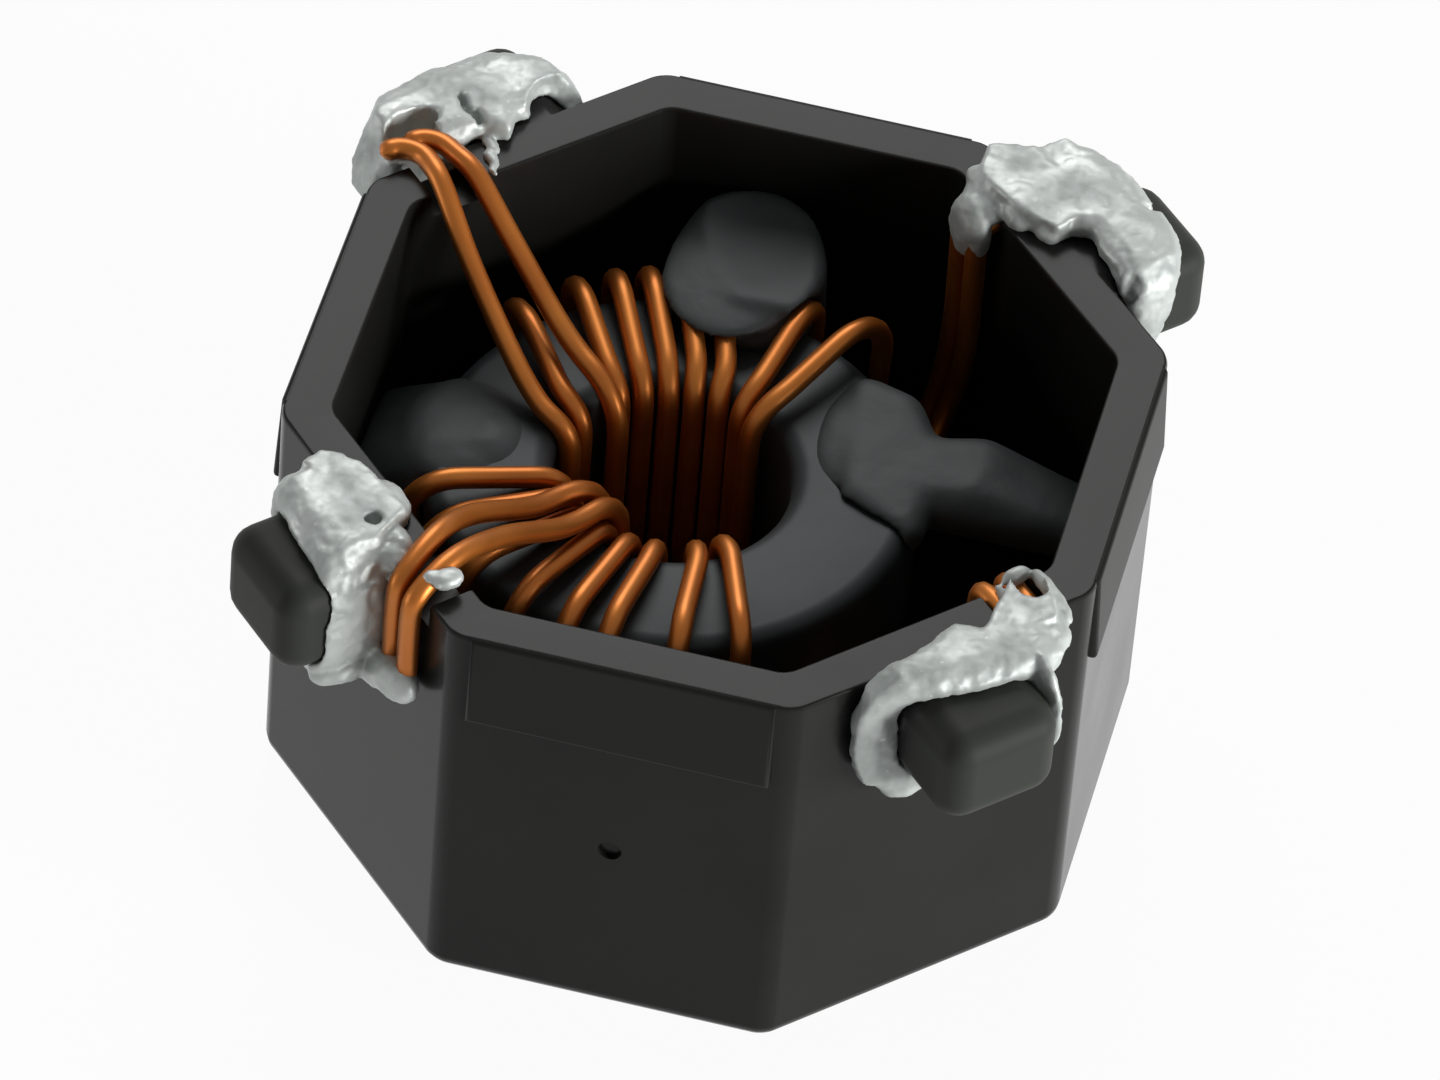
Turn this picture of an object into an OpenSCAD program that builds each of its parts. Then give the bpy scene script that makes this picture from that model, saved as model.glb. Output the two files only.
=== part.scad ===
// Surface-mount choke: a wound toroid glued into an octagonal cup, with its leads soldered round four pegs.
// It lies on its closed face, open side up. Lengths are in millimetres.

/* [Cup] */
// Distance across the flat walls, under the raised band
body_across = 8.9; // [8.4:0.1:11]
// Height from the closed face to the rim
body_h = 5.2; // [4.8:0.1:7]
// Thickness of the walls
wall = 0.53; // [0.4:0.01:0.7]
// Thickness of the closed face
floor_t = 0.5; // [0.3:0.05:0.7]
// Radius of the upright corners outside
corner_r = 0.35; // [0.1:0.05:0.6]
// Radius of the upright corners inside
inner_corner_r = 0.25; // [0.1:0.05:0.6]
// Radius of the edge round the closed face
foot_r = 0.22; // [0.05:0.01:0.3]
// Height of the raised band under the rim of each main wall
band_h = 1.18; // [0.6:0.02:2]
// How far that band stands proud of its wall
band_proud = 0.06; // [0.02:0.01:0.15]
// Diameter of the moulding gate's mark on the front wall
gate_d = 0.26; // [0.1:0.02:0.5]
// Depth of the gate's mark
gate_depth = 0.06; // [0.02:0.01:0.15]
// Height of the gate's mark above the closed face
gate_z = 2.46; // [1:0.02:3]

/* [Pegs] */
// Width of a peg along its wall
peg_w = 1.42; // [1:0.02:1.6]
// Height of a peg, down from the rim
peg_h = 1.2; // [0.7:0.05:1.6]
// How far a peg stands out from its wall
peg_l = 1.34; // [1:0.02:1.6]
// Radius of a peg's long edges
peg_r = 0.3; // [0.1:0.02:0.4]
// Radius of the edges at a peg's free end
peg_end_r = 0.34; // [0.05:0.01:0.4]
// Distance of a lead notch from the middle of its wall
notch_offset = 1.06; // [1.02:0.01:1.2]
// Depth of a lead notch below the rim
notch_depth = 0.32; // [0.28:0.02:0.6]

/* [Core] */
// Outer diameter of the toroid
core_od = 5.36; // [4.8:0.02:5.6]
// Diameter of its hole
core_id = 2.6; // [2.4:0.02:3]
// Height of the toroid
core_h = 2.72; // [2:0.02:3.2]
// Radius of its coated edges
core_edge_r = 0.22; // [0.1:0.01:0.4]
// How far the toroid sits off the middle of the cup, along X
core_shift = -0.52; // [-0.7:0.02:0]

/* [Windings] */
// Diameter of the enamelled wire
wire_d = 0.24; // [0.18:0.01:0.26]
// Space between a wire and what it lies beside
wire_gap = 0.02; // [0.02:0.005:0.05]
// Pitch of the wires round the hole, as a multiple of the tightest one
hole_looseness = 1.06; // [1.02:0.01:1.12]

/* [Solder] */
// Height of the solder pads above the rim
pad_t = 0.28; // [0.12:0.01:0.4]
// Width of the solder along a peg
solder_w = 0.72; // [0.5:0.02:0.9]
// How far the solder runs in under a peg
solder_under = 0.2; // [0.05:0.05:0.4]

/* [Adhesive] */
// Width of the strap from the core to the right wall
strap_w = 1.1; // [0.6:0.05:1.4]
// Thickness of that strap
strap_t = 0.5; // [0.4:0.05:0.8]
// Width of the dab on the back wall
back_dab_w = 1.7; // [1:0.05:2]
// Depth of the back dab's crest below the rim
back_dab_drop = 0.62; // [0.4:0.02:0.9]
// Width of the dab on the left wall
left_dab_w = 1.7; // [0.8:0.05:1.9]

/* [Hidden] */

corner_steps = 5;
eps = 0.05;
face_r = body_across / 2;
inner_r = face_r - wall;
flat_w = body_across * tan(22.5);
lug_angles = [135, 45, -45, -135];
// Distance between the two leads that share a notch
lead_pitch = 1.25 * wire_d;
notch_w = lead_pitch + wire_d + 4 * wire_gap;

core_r = core_od / 2;
hole_r = core_id / 2;
layer_t = wire_d + wire_gap;
core_z = floor_t + 2 * layer_t + wire_gap;
core_top = core_z + core_h;
// Layers by which a turn stands off the core's upper edge, where it was pulled least
slack = 0.5;
wound_t = (1 + slack) * layer_t + 2 * wire_gap;

// Space between solder or adhesive and the curved faces that it grips
seat_gap = 0.01;
wire_sides = 8;
bend_steps = 3;
lead_steps = 4;
// Share of a turn's slant that is taken in the bend at either edge of the core
bend_share = 0.2;
// Angle between wires that lie side by side in the hole
hole_pitch = hole_looseness * 2 * asin(layer_t / (2 * (hole_r - wire_layer(0))));

plastic = "#2b2b29";
coating = "#3d4143";
copper = "#a85f25";
solder = "#c9cfcd";
epoxy = "#484b4d";

// Plain helpers

function mix(a, b, u) = a + (b - a) * u;

function unit(v) = v / norm(v);

function arc(centre, r, from, to, steps) =
    [for (i = [0:steps]) let (a = mix(from, to, i / steps)) centre + r * [cos(a), sin(a)]];

// Outline of a regular octagon with round corners and a flat wall facing +X
function octagon(across_r, r) =
    let (k = (across_r - r) / cos(22.5))
    [for (j = [0:7]) each arc(k * [cos(45 * j + 22.5), sin(45 * j + 22.5)], r, 45 * j, 45 * j + 45, corner_steps)];

// Outline of a rectangle from low to high; r gives the radii of its corners, from the upper right one round to the left
function round_box(low, high, r) =
    let (
        corners = [high, [low[0], high[1]], low, [high[0], low[1]]],
        inward = [[-1, -1], [1, -1], [1, 1], [-1, 1]]
    )
    [for (j = [0:3]) each r[j] > 0
        ? arc(corners[j] + r[j] * inward[j], r[j], 90 * j, 90 * j + 90, corner_steps)
        : [corners[j]]];

// Turns a shape drawn with X out from the wall and Y along it to the diagonal wall of a lug
module at_lug(k) {
    rotate(lug_angles[k]) children();
}

// Point of a lug's frame: n out from the cup's axis, t along the wall, z above the rim
function lug_point(k, n, t, z) =
    let (a = lug_angles[k])
    [n * cos(a) - t * sin(a), n * sin(a) + t * cos(a), body_h + z];

// Cup

module peg() {
    root = face_r - wall / 2;
    tip = face_r + peg_l;
    half = peg_w / 2;
    intersection() {
        rotate([90, 0, 90])
            translate([0, 0, root])
                linear_extrude(tip - root)
                    polygon(round_box([-half, body_h - peg_h], [half, body_h], peg_r * [1, 1, 1, 1]));
        translate([0, 0, body_h - peg_h - eps])
            linear_extrude(peg_h + 2 * eps)
                polygon(round_box([root - eps, -half], [tip, half], [peg_end_r, 0, 0, peg_end_r]));
        rotate([90, 0, 0])
            linear_extrude(peg_w + 2 * eps, center = true)
                polygon(round_box([root - eps, body_h - peg_h], [tip, body_h], [peg_end_r, 0, 0, peg_end_r]));
    }
}

module lead_notch() {
    translate([inner_r - eps, notch_offset - notch_w / 2, body_h - notch_depth])
        cube([wall + 2 * eps, notch_w, notch_depth + eps]);
}

// What is cut off along one edge of the closed face to round it
module foot_rounding() {
    translate([face_r - foot_r, 0, 0])
        rotate([90, 0, 0])
            linear_extrude(flat_w + 2 * eps, center = true)
                polygon(concat([[foot_r + eps, foot_r], [foot_r + eps, -eps], [0, -eps]],
                               arc([0, foot_r], foot_r, -90, 0, corner_steps)));
}

module housing() {
    color(plastic)
    difference() {
        union() {
            linear_extrude(body_h) polygon(octagon(face_r, corner_r));
            for (k = [0:3])
                rotate(90 * k)
                    translate([face_r - wall / 2, -flat_w / 2, body_h - band_h])
                        cube([wall / 2 + band_proud, flat_w, band_h]);
            for (k = [0:3]) at_lug(k) peg();
        }
        translate([0, 0, floor_t])
            linear_extrude(body_h)
                polygon(octagon(inner_r, inner_corner_r));
        for (k = [0:3]) at_lug(k) lead_notch();
        for (k = [0:7]) rotate(45 * k) foot_rounding();
        translate([0, -face_r, gate_z])
            rotate([90, 0, 0])
                cylinder(h = 2 * gate_depth, d = gate_d, center = true, $fn = 32);
    }
}

// Core

module core() {
    color(coating)
    translate([core_shift, 0, 0])
        rotate_extrude($fn = 96)
            polygon(round_box([hole_r, core_z], [core_r, core_top], core_edge_r * [1, 1, 1, 1]));
}

// Windings

// Distance of a wire's middle from the core: layer 0 lies on the core, layer 1 on layer 0
function wire_layer(n) = wire_d / 2 + wire_gap + n * layer_t;

function on_core(r, a, z) = [core_shift + r * cos(a), r * sin(a), z];

// A wire's way round one edge of the core: the edge's middle at r, z, its swing, and layer and angle at both ends
function edge_bend(r, z, swing, layers, angles) =
    [for (i = [0:bend_steps])
        let (
            u = i / bend_steps,
            s = mix(swing[0], swing[1], u),
            d = core_edge_r + wire_layer(mix(layers[0], layers[1], u))
        )
        on_core(r + d * cos(s), mix(angles[0], angles[1], u), z + d * sin(s))];

edge_out = core_r - core_edge_r;
edge_in = hole_r + core_edge_r;
edge_low = core_z + core_edge_r;
edge_high = core_top - core_edge_r;

// A turn is [angle outside, angle in the hole, layer outside, layer on top and in the hole, layer underneath]
function down_the_hole(turn) =
    edge_bend(edge_in, edge_high, [90, 180], [turn[3], turn[3]],
              [mix(turn[1], turn[0], bend_share), turn[1]]);

function under_the_core(turn, next) = concat(
    edge_bend(edge_in, edge_low, [180, 270], [turn[3], turn[4]],
              [turn[1], mix(turn[1], next[0], bend_share)]),
    edge_bend(edge_out, edge_low, [-90, 0], [turn[4], next[2]],
              [mix(next[0], turn[1], bend_share), next[0]]));

function up_and_over(turn) =
    edge_bend(edge_out, edge_high, [0, 90], [turn[2] + slack, turn[3] + slack],
              [turn[0], mix(turn[0], turn[1], bend_share)]);

// Smooth curve through points, which keeps its direction at both ends
function spline(p) =
    let (last = len(p) - 1)
    [for (i = [0:last - 1])
        let (
            a = p[max(i - 1, 0)],
            b = p[i],
            c = p[i + 1],
            d = p[min(i + 2, last)]
        )
        for (j = [0:lead_steps - 1])
            let (u = j / lead_steps)
            0.5 * (2 * b + (c - a) * u + (2 * a - 5 * b + 4 * c - d) * u * u + (3 * b - a - 3 * c + d) * u * u * u)];

// Places of the two leads side by side in a notch
function notch_t(side) = notch_offset + side * lead_pitch / 2;

// Height at which a lead's top lies just below the pads, over the floor of its notch
flush_lift = notch_depth + pad_t - wire_d - 2 * wire_gap;
// How high each lug's leads ride over the floor of their notch
lead_lift = [flush_lift, 0.02, 0.06, flush_lift];
// How far they run down outside the wall before the solder takes them
lead_drop = [0, 0, 0, 1.3];

function lead_z(k) = -notch_depth + wire_layer(0) + lead_lift[k];

// A lead's way from its end at the solder to the wall's outer edge
function from_the_solder(k, t) =
    let (z = lead_z(k), outside = face_r + wire_layer(0))
    lead_drop[k] > 0
        ? [lug_point(k, outside, t, z - lead_drop[k]), lug_point(k, outside, t, z - 1.6 * wire_d),
           lug_point(k, outside - 0.3 * wire_d, t, z - 0.35 * wire_d)]
        : [lug_point(k, face_r - wire_gap, t, z), lug_point(k, mix(inner_r, face_r, 0.7), t, z)];

// Lead from a notch straight over the wall and the core's top to its first turn
function lead_in(k, side, first) =
    let (
        t = notch_t(side),
        rim_z = body_h + lead_z(k),
        over = core_top + wire_layer(first[3]),
        landing = on_core(core_r + wire_d, first[0], mix(rim_z, over, 0.35)),
        landing_n = landing * [cos(lug_angles[k]), sin(lug_angles[k]), 0],
        heading = [landing[0], landing[1], rim_z]
    )
    spline(concat(
        from_the_solder(k, t),
        [mix(lug_point(k, face_r, t, lead_z(k)), heading, wall / (face_r - landing_n)), landing,
         on_core(mix(hole_r, core_r, 0.5), mix(first[0], first[1], 0.4), mix(rim_z, over, 0.85)),
         down_the_hole(first)[0]]));

// Lead from under the core to the wall, up along it and out through a notch
function lead_out(k, side, angle) =
    let (
        t = notch_t(side),
        way_out = from_the_solder(k, t),
        bend_r = wire_layer(0) + lead_lift[k] + wire_gap,
        along = inner_r - bend_r,
        stagger = -side * 0.5 * wire_d
    )
    concat(
        spline(concat(
            [on_core(core_r + wire_layer(0), angle, edge_low),
             lug_point(k, along - wire_d, t, mix(core_z, core_top, 0.35) - body_h + stagger),
             lug_point(k, along, t, mix(core_z, core_top, 0.75) - body_h),
             lug_point(k, along, t, lead_z(k) - bend_r),
             lug_point(k, inner_r + bend_r * cos(135), t, lead_z(k) - bend_r + bend_r * sin(135)),
             lug_point(k, inner_r, t, lead_z(k))],
            [for (i = [len(way_out) - 1:-1:0]) way_out[i]])),
        [way_out[0]]);

// Whole way of one wire: in over the top, its turns, and out from underneath
function wire_path(turns, lug_in, side_in, lug_out, side_out, angle_out) =
    let (last = len(turns) - 1, exit = [angle_out, 0, 0])
    concat(
        lead_in(lug_in, side_in, turns[0]),
        [for (i = [0:last])
            let (next = i < last ? turns[i + 1] : exit)
            each concat(i > 0 ? up_and_over(turns[i]) : [], down_the_hole(turns[i]), under_the_core(turns[i], next))],
        lead_out(lug_out, side_out, angle_out));

function directions(p) =
    let (last = len(p) - 1)
    [for (i = [0:last]) unit(p[min(i + 1, last)] - p[max(i - 1, 0)])];

function square_to(v, d) = unit(v - (v * d) * d);

// One upright vector for each ring of a tube, carried along so that the tube doesn't twist
function uprights(d) =
    [for (i = 0, v = square_to([0.31, 0.47, 0.83], d[0]); i < len(d);
          i = i + 1, v = i < len(d) ? square_to(v, d[i]) : v) v];

module tube(path, r) {
    d = directions(path);
    up = uprights(d);
    n = wire_sides;
    rings = len(path);
    points = [for (i = [0:rings - 1], j = [0:n - 1])
        let (a = 360 * j / n)
        path[i] + r * (cos(a) * up[i] + sin(a) * cross(d[i], up[i]))];
    sides = [for (i = [0:rings - 2], j = [0:n - 1])
        let (a = i * n + j, b = i * n + (j + 1) % n)
        each [[a, b + n, b], [a, a + n, b + n]]];
    ends = [[for (j = [0:n - 1]) j], [for (j = [n - 1:-1:0]) (rings - 1) * n + j]];
    polyhedron(points, concat(sides, ends), convexity = 8);
}

// Angles in the hole, counted from the middle of each winding
function hole_a(i) = 112.5 + (4.5 - i) * hole_pitch;

function hole_b(i) = -97 + (i - 3.5) * hole_pitch;

turns_a1 = [
    [154, hole_a(0), 0, 0, 0], [140, hole_a(1), 0, 0, 1], [117, hole_a(4), 0, 0, 0],
    [103, hole_a(6), 0, 0, 0], [72, hole_a(8), 0, 0, 0]
];
turns_a2 = [
    [143, hole_a(2.2), 0, 1, 0], [126, hole_a(3), 0, 0, 0], [110, hole_a(5), 0, 0, 0],
    [95, hole_a(7), 0, 0, 0], [58, hole_a(9), 1, 0.4, 0]
];
turns_b1 = [
    [-124, hole_b(1), 0, 1, 1], [-153, hole_b(-0.5), 0, 0, 0], [-127, hole_b(1.5), 0, 0, 0],
    [-100, hole_b(3.5), 0, 0, 0], [-76, hole_b(6), 0, 0, 0]
];
turns_b2 = [
    [-115, hole_b(2.25), 0, 1, 1], [-141, hole_b(0.5), 0, 0, 0], [-112, hole_b(2.5), 0, 0, 0],
    [-91, hole_b(4.5), 0, 0, 0], [-62, hole_b(7), 0, 0, 0]
];

module wire(path) {
    color(copper) tube(path, wire_d / 2);
}

module winding_a_wire_1() {
    wire(wire_path(turns_a1, 0, 1, 1, 1, 50));
}

module winding_a_wire_2() {
    wire(wire_path(turns_a2, 0, -1, 1, -1, 42));
}

module winding_b_wire_1() {
    wire(wire_path(turns_b1, 3, -1, 2, -1, -50));
}

module winding_b_wire_2() {
    wire(wire_path(turns_b2, 3, 1, 2, 1, -40));
}

// Solder terminals

// Stations round one corner of a peg's section, as [t, z, direction outward]; t, z is the middle of its rounding
function corner_stations(t, z, from, to) =
    [for (i = [0:3])
        let (a = mix(from, to, i / 3), r = peg_r + seat_gap)
        [t + r * cos(a), z + r * sin(a), a]];

// Stations from under one side of a peg, over its top, to under the other side
function peg_stations() =
    let (
        side = peg_w / 2 + seat_gap,
        round_t = peg_w / 2 - peg_r,
        round_z = peg_r - peg_h,
        low = -peg_h - seat_gap,
        under = round_t - solder_under
    )
    concat(
        [[-under, low, 270]], corner_stations(-round_t, round_z, 270, 180),
        [[-side, -peg_h / 2, 180]], corner_stations(-round_t, -peg_r, 180, 90),
        [for (t = [-1, 0, 1]) [t * round_t / 2, seat_gap, 90]],
        corner_stations(round_t, -peg_r, 90, 0), [[side, -peg_h / 2, 0]],
        corner_stations(round_t, round_z, 0, -90), [[under, low, -90]]);

// Thickness at a station, no higher than the level of the pads
function solder_thick(station, thick) =
    let (rise = sin(station[2]))
    rise > 0.1 ? min(thick, (pad_t - station[1]) / rise) : thick;

// Section of the solder at one station: flat on the peg and along the wall, round outside
function solder_section(reach, width, thick) = [
    [-reach, 0], [width, 0], [1.03 * width, 0.35 * thick], [0.9 * width, 0.75 * thick],
    [0.68 * width, thick], [0.22 * width - reach, thick], [0.06 * width - reach, 0.85 * thick], [-reach, 0.6 * thick]
];

// thick, width and reach are lookup tables over the stations, which are counted from 0 to 22
module terminal(k, thick, width, reach) {
    stations = peg_stations();
    rings = len(stations);
    n = len(solder_section(0, solder_w, pad_t));
    points = [for (i = [0:rings - 1])
        let (
            s = stations[i],
            h = solder_thick(s, lookup(i, thick)),
            section = solder_section(lookup(i, reach), solder_w * lookup(i, width), h)
        )
        for (q = section)
            lug_point(k, face_r + seat_gap + q[0], s[0] + q[1] * cos(s[2]), s[1] + q[1] * sin(s[2]))];
    sides = [for (i = [0:rings - 2], j = [0:n - 1])
        let (a = i * n + j, b = i * n + (j + 1) % n)
        each [[a, b, b + n], [a, b + n, a + n]]];
    ends = [[for (j = [n - 1:-1:0]) j], [for (j = [0:n - 1]) (rings - 1) * n + j]];
    color(solder) polyhedron(points, concat(sides, ends), convexity = 6);
}

// Solder on the rim beside a peg; a spot is [inward from the wall's outer face, along the wall, radius]
module rim_cap(k, spots) {
    color(solder)
    at_lug(k)
        hull()
            for (s = spots)
                translate([face_r - s[0], s[1], body_h + seat_gap])
                    cylinder(h = pad_t - 2 * seat_gap, r1 = s[2], r2 = 0.6 * s[2], $fn = 12);
}

module terminal_1() {
    terminal(0,
        [[0, 0.08], [4, 0.2], [7, 0.24], [9, 0.36], [13, 0.36], [15, 0.96], [17, 1], [19, 0.4], [22, 0.1]],
        [[0, 0.5], [5, 0.7], [8, 1], [10, 1.45], [14, 1.5], [17, 1.2], [22, 0.6]],
        [[0, 0], [11, 0], [12, 0.2], [13, 0], [22, 0]]);
}

module terminal_2() {
    terminal(1,
        [[0, 0.06], [4, 0.16], [6, 0.24], [8, 0.3], [13, 0.36], [15, 0.76], [17, 0.8], [19, 0.3], [22, 0.08]],
        [[0, 0.6], [5, 0.95], [7, 1.15], [9, 1.35], [14, 1.4], [17, 1.1], [22, 0.6]],
        [[0, -0.2], [5, -0.25], [7, -0.1], [10, -0.1], [11, -0.16], [12, 0], [22, 0]]);
    rim_cap(1, [
        [-0.2, 0.3, 0.1], [-0.2, 1.3, 0.1], [0.16, 1.54, 0.1], [0.42, 1.3, 0.1], [0.42, 1.05, 0.1],
        [0.34, 0.6, 0.1], [0.16, 0.24, 0.1]
    ]);
}

module terminal_3() {
    terminal(2,
        [[0, 0.3], [3, 0.44], [6, 0.46], [8, 0.36], [13, 0.36], [15, 0.6], [16, 0.5], [17, 0.3], [19, 0.1], [22, 0.05]],
        [[0, 0.7], [3, 0.5], [5, 0.4], [7, 0.5], [9, 0.75], [11, 0.92], [15, 1], [17, 0.6], [22, 0.4]],
        [[0, 0], [9, 0], [10, 0.06], [11, 0.14], [12, 0.2], [13, 0], [22, 0]]);
    rim_cap(2, [
        [-0.15, 0.45, 0.1], [-0.25, 1.14, 0.1], [0.24, 1.32, 0.08], [0.44, 1.18, 0.08], [0.24, 0.9, 0.08]
    ]);
}

module terminal_4() {
    terminal(3,
        [[0, 0.1], [4, 0.26], [8, 0.34], [12, 0.36], [13, 0.3], [14, 0.1], [15, 0.06], [18, 0.06], [19, 0.1],
         [20, 0.2], [21, 0.36], [22, 0.3]],
        [[0, 0.7], [8, 0.95], [11, 1.1], [16, 1.15], [20, 1.3], [22, 1.2]],
        [[0, 0], [22, 0]]);
    rim_cap(3, [[-0.2, -0.85, 0.1], [-0.2, 0.4, 0.1], [0.3, 0.16, 0.1], [0.25, -0.55, 0.1], [0, -0.88, 0.1]]);
}

// Adhesive

// Lump through balls that are given as [x, y, z, radius]
module lump(balls) {
    hull()
        for (b = balls)
            translate([b[0], b[1], b[2]]) sphere(r = b[3], $fn = 20);
}

// Room that the core takes up with a layer of thickness t all round it
module core_room(t) {
    translate([core_shift, 0, 0])
        rotate_extrude($fn = 96)
            polygon(round_box([hole_r - t, core_z - t], [core_r + t, core_top + t], (core_edge_r + t) * [1, 1, 1, 1]));
}

module in_the_cup() {
    color(epoxy)
    intersection() {
        children();
        translate([0, 0, floor_t])
            linear_extrude(body_h)
                polygon(octagon(inner_r, inner_corner_r));
    }
}

module adhesive_back() {
    r = 0.42;
    half = back_dab_w / 2 - r;
    mid = -0.55;
    crest = body_h - back_dab_drop - r;
    brow = core_r + wound_t;
    in_the_cup()
        difference() {
            lump([
                [mid - 0.12, inner_r, crest, r], [mid + 0.2, inner_r, crest, r],
                [mid - half, inner_r, crest - 0.75, r], [mid + half, inner_r, crest - 0.75, r],
                [mid - half - 0.1, inner_r, crest - 1.7, r], [mid + half, inner_r, crest - 1.7, r],
                [mid - half, brow, core_top, r], [mid + half + 0.35, brow - 0.1, core_top - 0.05, r],
                [mid + 0.25, core_r - 0.2, core_top + 0.16, r], [mid + 0.75, core_r - 0.2, core_top + 0.14, r]
            ]);
            core_room(wound_t);
        }
}

module adhesive_left() {
    r = 0.75;
    half = left_dab_w / 2;
    rim = core_shift - core_r;
    crown = core_top + 0.12 - r;
    in_the_cup()
        difference() {
            lump([
                [-inner_r, 0.45 - half, crown - 0.65, r], [-inner_r, half - 0.45, crown - 0.7, r],
                [rim + 0.2, 0.5 - half, crown - 0.05, r], [rim + 0.35, half - 0.55, crown - 0.06, r],
                [rim + 0.62, -0.15, crown, r]
            ]);
            core_room(seat_gap);
        }
}

module adhesive_right() {
    r = strap_t / 2;
    half = strap_w / 2 - r;
    patch_y = 0.66;
    wall_y = 0.95;
    top = core_top + 0.14 - r;
    rim = core_shift + core_r;
    in_the_cup()
        difference() {
            union() {
                lump([
                    [inner_r, wall_y - 0.7 * half, top - 0.4, r], [inner_r, wall_y + 0.7 * half, top - 0.4, r],
                    [rim + 0.5, wall_y - half, top - 0.04, r], [rim + 0.5, wall_y + half, top - 0.04, r],
                    [rim - 0.4, patch_y - half, top, r], [rim - 0.4, patch_y + half, top, r]
                ]);
                lump([
                    [rim - 0.95, patch_y + 1.05, top, r], [rim - 0.5, patch_y + 0.95, top, r],
                    [rim - 0.85, patch_y + 0.2, top, r], [rim - 0.7, patch_y - 0.45, top, r],
                    [rim - 0.1, patch_y - 0.75, top - 0.05, r], [rim - 0.1, patch_y + 0.3, top - 0.02, r]
                ]);
            }
            core_room(seat_gap);
        }
}

housing();
core();
winding_a_wire_1();
winding_a_wire_2();
winding_b_wire_1();
winding_b_wire_2();
terminal_1();
terminal_2();
terminal_3();
terminal_4();
adhesive_back();
adhesive_left();
adhesive_right();
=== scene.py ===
# %% [markdown]
# # A wound choke in its moulded cup
# The part is a surface-mount choke. A coated ring wound with copper wire is glued into an octagonal
# plastic cup, and the ends of the wires are soldered round four pegs. It lies on its closed face, with
# the open side up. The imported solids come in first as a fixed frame, and every piece below stands where
# its solid stands.

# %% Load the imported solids
import math
from collections import namedtuple

import bpy
import numpy as np
from mathutils import Matrix, Vector


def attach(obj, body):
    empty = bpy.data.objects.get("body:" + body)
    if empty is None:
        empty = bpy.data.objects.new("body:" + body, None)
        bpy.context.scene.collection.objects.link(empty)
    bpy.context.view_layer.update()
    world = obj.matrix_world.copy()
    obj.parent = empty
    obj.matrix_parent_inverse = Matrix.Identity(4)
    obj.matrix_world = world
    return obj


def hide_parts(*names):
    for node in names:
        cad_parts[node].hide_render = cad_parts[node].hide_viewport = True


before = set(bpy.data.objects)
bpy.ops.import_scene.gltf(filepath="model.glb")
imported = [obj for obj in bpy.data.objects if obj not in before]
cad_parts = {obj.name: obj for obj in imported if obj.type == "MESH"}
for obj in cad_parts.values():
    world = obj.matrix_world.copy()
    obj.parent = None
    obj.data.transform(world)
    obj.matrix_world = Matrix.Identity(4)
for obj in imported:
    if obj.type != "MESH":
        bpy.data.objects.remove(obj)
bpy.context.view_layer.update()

print("solids:", ", ".join(sorted(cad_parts)))

# %% [markdown]
# The sizes repeat those of the solids, in millimetres. The part is so small that Blender's own limits get
# in the way in metres, such as the smallest voxel of a remesh. So each piece is modelled with one unit
# for a millimetre, and shrunk to metres when it is finished.

# %% Sizes that several pieces share
MM = 0.001
BODY_ACROSS = 8.9
BODY_H = 5.2
WALL = 0.53
FLOOR_T = 0.5
WIRE_D = 0.24
WIRE_GAP = 0.02
LUG_ANGLES = (135, 45, -45, -135)

FACE_R = BODY_ACROSS / 2
INNER_R = FACE_R - WALL
print("walls from", round(INNER_R, 2), "to", round(FACE_R, 2), "mm off the axis")

# %% [markdown]
# ## Camera
# The photograph was taken from far off with a long lens, so upright edges hardly lean towards each other.
# The angles were matched to the octagon of the rim. A camera looks along its own -Z, so its place and its
# three axes are written straight into its matrix.

# %% Place the camera
AZIMUTH = math.radians(10.54)
ELEVATION = math.radians(45.92)
ROLL = math.radians(4.93)
DISTANCE = 132.3
AIM_RIGHT = 0.075
AIM_UP = 1.669
LENS = 309.85
SENSOR_W = 36


def clear_selection():
    bpy.ops.object.select_all(action="DESELECT")


back = Vector((math.sin(AZIMUTH) * math.cos(ELEVATION),
               -math.cos(AZIMUTH) * math.cos(ELEVATION),
               math.sin(ELEVATION)))
level = Vector((math.cos(AZIMUTH), math.sin(AZIMUTH), 0))
rise = back.cross(level)
right = math.cos(ROLL) * level + math.sin(ROLL) * rise
up = math.cos(ROLL) * rise - math.sin(ROLL) * level
eye = Vector((0, 0, BODY_H)) + DISTANCE * back - AIM_RIGHT * right - AIM_UP * up

clear_selection()
bpy.ops.object.camera_add()
camera = bpy.context.object
camera.matrix_world = Matrix.Translation(eye * MM) @ Matrix((right, up, back)).transposed().to_4x4()
camera.data.lens = LENS
camera.data.sensor_width = SENSOR_W
camera.data.clip_start = 0.01
camera.data.clip_end = 10
bpy.context.scene.camera = camera
bpy.context.scene.view_settings.view_transform = "Standard"
print("camera at", [round(x, 4) for x in camera.location], "m")

# %% [markdown]
# ## Helpers for the finishes
# A colour is picked as sRGB, as on a screen, but shaders reckon with linear light, so one function turns
# a hex code into linear values. A second one adds a node, sets it and links it, and the others use it for
# what comes back in every finish. Textures work in metres here, so a pattern's scale is one over the size
# of its grain.

# %% Colour and node helpers
def linear(code):
    parts = [int(code[i:i + 2], 16) / 255 for i in (1, 3, 5)]
    return [c / 12.92 if c <= 0.04045 else ((c + 0.055) / 1.055) ** 2.4 for c in parts] + [1.0]


def add(tree, kind, settings=None, links=None):
    node = tree.nodes.new("ShaderNode" + kind)
    for name, value in (settings or {}).items():
        if isinstance(name, int) or name in node.inputs:
            node.inputs[name].default_value = value
        else:
            setattr(node, name, value)
    for name, socket in (links or {}).items():
        tree.links.new(socket, node.inputs[name])
    return node


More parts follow.
